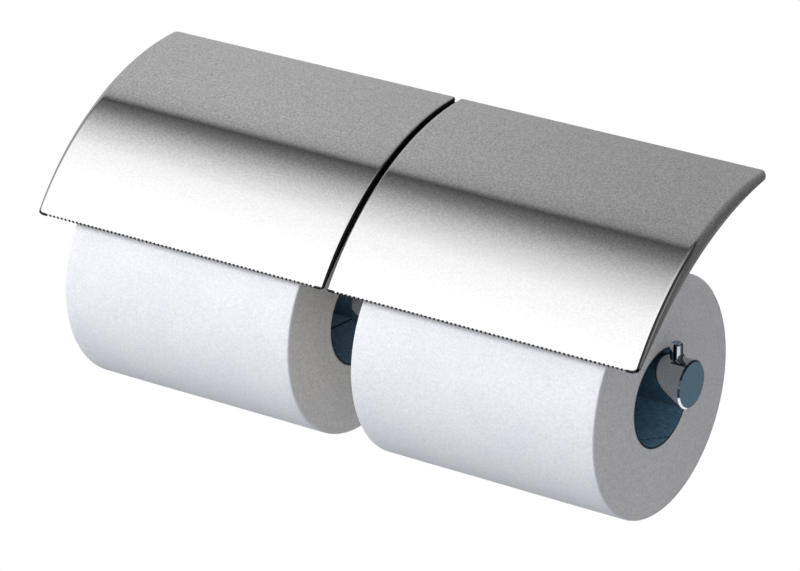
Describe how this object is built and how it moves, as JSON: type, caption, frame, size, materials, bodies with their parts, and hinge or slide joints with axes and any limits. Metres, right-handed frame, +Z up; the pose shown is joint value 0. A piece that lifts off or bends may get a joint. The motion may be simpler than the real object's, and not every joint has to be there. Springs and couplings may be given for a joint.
{
  "type": "double toilet roll holder",
  "caption": "Wall-mounted holder for two toilet rolls side by side on one shaft, with a centre arm, curved hinged sheet covers with toothed front edges, and stop pegs at the shaft ends.",
  "frame": {"origin": "centre of the wall plate's back face, in the wall plane", "axes": "+Y into the wall, so the holder reaches to -Y; +X along the shaft to the right as seen by the user; +Z up"},
  "size_m": [0.2926, 0.11, 0.1332],
  "materials": {
    "cover_metal": "satin chromed sheet",
    "bright_chrome": "polished",
    "cast_grey": "satin",
    "plate_steel": "plain zinc plated",
    "screw_steel": "plain",
    "rod_steel": "smooth",
    "bush_nylon": "matte",
    "pad_rubber": "matte",
    "tissue": "soft",
    "card": "matte"
  },
  "bodies": {
    "holder": {"wall_plate": "plate_steel", "hinge_bar": "cast_grey", "lock_screws": "screw_steel", "arm": "bright_chrome", "arm_screws": "screw_steel", "shaft_screw": "screw_steel", "shaft": "bright_chrome", "left_end_cap": "bright_chrome", "right_end_cap": "bright_chrome", "left_stop_peg": "bright_chrome", "right_stop_peg": "bright_chrome", "left_hinge_rod": "rod_steel", "right_hinge_rod": "rod_steel", "rod_clips": "screw_steel", "stop_pads": "pad_rubber"},
    "left_cover_body": {"left_cover": "cover_metal", "left_inner_lug": "plate_steel", "left_outer_lug": "plate_steel", "left_lug_studs": "rod_steel", "left_lug_nuts": "screw_steel", "left_hinge_bushes": "bush_nylon"},
    "right_cover_body": {"right_cover": "cover_metal", "right_inner_lug": "plate_steel", "right_outer_lug": "plate_steel", "right_lug_studs": "rod_steel", "right_lug_nuts": "screw_steel", "right_hinge_bushes": "bush_nylon"},
    "left_roll": {"left_paper": "tissue", "left_core": "card"},
    "right_roll": {"right_paper": "tissue", "right_core": "card"}
  },
  "joints": [
    {"name": "left_cover_hinge", "type": "hinge", "parent": "holder", "child": "left_cover_body", "pos_m": [-0.0585, -0.0195, 0.02564], "axis": [-1, 0, 0], "range_deg": [0, 85]},
    {"name": "right_cover_hinge", "type": "hinge", "parent": "holder", "child": "right_cover_body", "pos_m": [0.0585, -0.0195, 0.02564], "axis": [-1, 0, 0], "range_deg": [0, 85]},
    {"name": "left_roll_spin", "type": "hinge", "parent": "holder", "child": "left_roll", "pos_m": [-0.072, -0.06, -0.047], "axis": [1, 0, 0], "continuous": true},
    {"name": "right_roll_spin", "type": "hinge", "parent": "holder", "child": "right_roll", "pos_m": [0.072, -0.06, -0.047], "axis": [1, 0, 0], "continuous": true}
  ]
}
